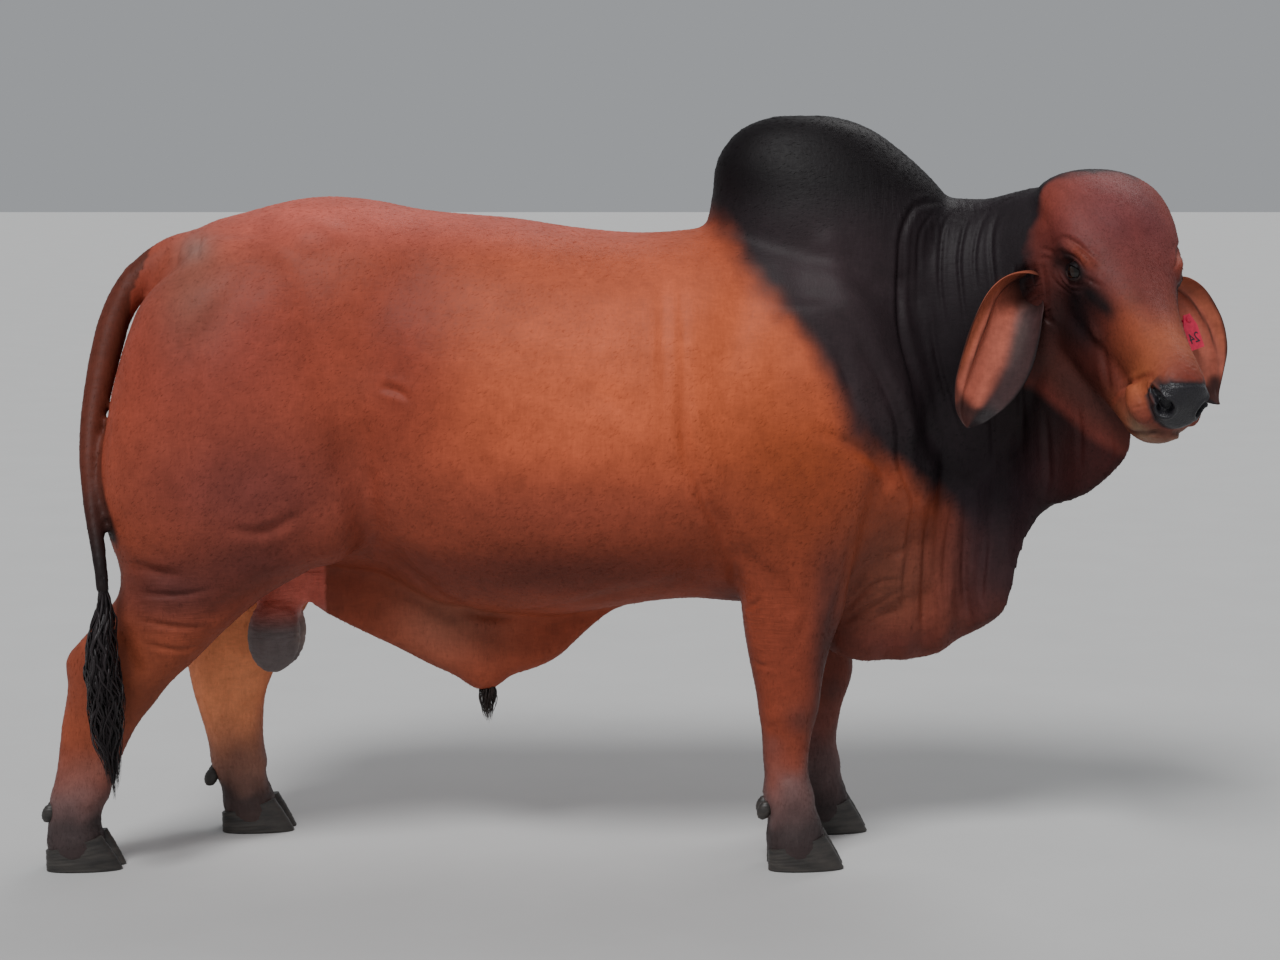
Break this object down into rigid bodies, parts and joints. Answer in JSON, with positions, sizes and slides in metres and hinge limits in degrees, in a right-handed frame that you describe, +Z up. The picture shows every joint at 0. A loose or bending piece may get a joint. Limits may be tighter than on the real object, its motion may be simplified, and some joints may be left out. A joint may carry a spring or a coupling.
{
  "type": "brahman bull",
  "caption": "Life-size still model of a standing humped bull with hanging ears, dewlap, sheath and tail switch, head turned to its right.",
  "frame": {"origin": "centre of the bounding box on the ground, under the belly", "axes": "+X forward along the back, +Y to the animal's left, +Z up"},
  "size_m": [2.7136, 0.9597, 1.7092],
  "materials": {
    "coat": "short, close red-brown hair over hide, satin",
    "dark_coat": "short, close black-purple hair over hide, satin",
    "skin": "bare wrinkled skin, satin",
    "horn": "dark hoof horn, matt with fine growth rings",
    "wet": "wet dark eye, glossy",
    "nose": "bare pebbled nose pad, moist",
    "tag": "moulded soft plastic, satin",
    "hair": "long black wavy hair, slightly glossy"
  },
  "bodies": {
    "root": {"head": "coat", "hump": "dark_coat", "neck": "dark_coat", "dewlap": "coat", "chest": "coat", "barrel": "coat", "rump": "coat", "sheath": "coat", "scrotum": "skin", "foreleg_right": "coat", "foreleg_left": "coat", "hindleg_right": "coat", "hindleg_left": "coat", "hoof_fore_right_inner": "horn", "hoof_fore_right_outer": "horn", "hoof_fore_left_inner": "horn", "hoof_fore_left_outer": "horn", "hoof_hind_right_inner": "horn", "hoof_hind_right_outer": "horn", "hoof_hind_left_inner": "horn", "hoof_hind_left_outer": "horn", "dewclaw_fore_right_inner": "horn", "dewclaw_fore_right_outer": "horn", "dewclaw_fore_left_inner": "horn", "dewclaw_fore_left_outer": "horn", "dewclaw_hind_right_inner": "horn", "dewclaw_hind_right_outer": "horn", "dewclaw_hind_left_inner": "horn", "dewclaw_hind_left_outer": "horn", "nose_pad": "nose", "eye_right": "wet", "eye_left": "wet", "ear_right": "coat", "ear_left": "coat", "ear_tag": "tag", "ear_tag_stud": "tag", "tail_base": "coat", "tail_shaft": "dark_coat", "tail_switch": "hair", "sheath_tuft": "hair"}
  },
  "joints": []
}
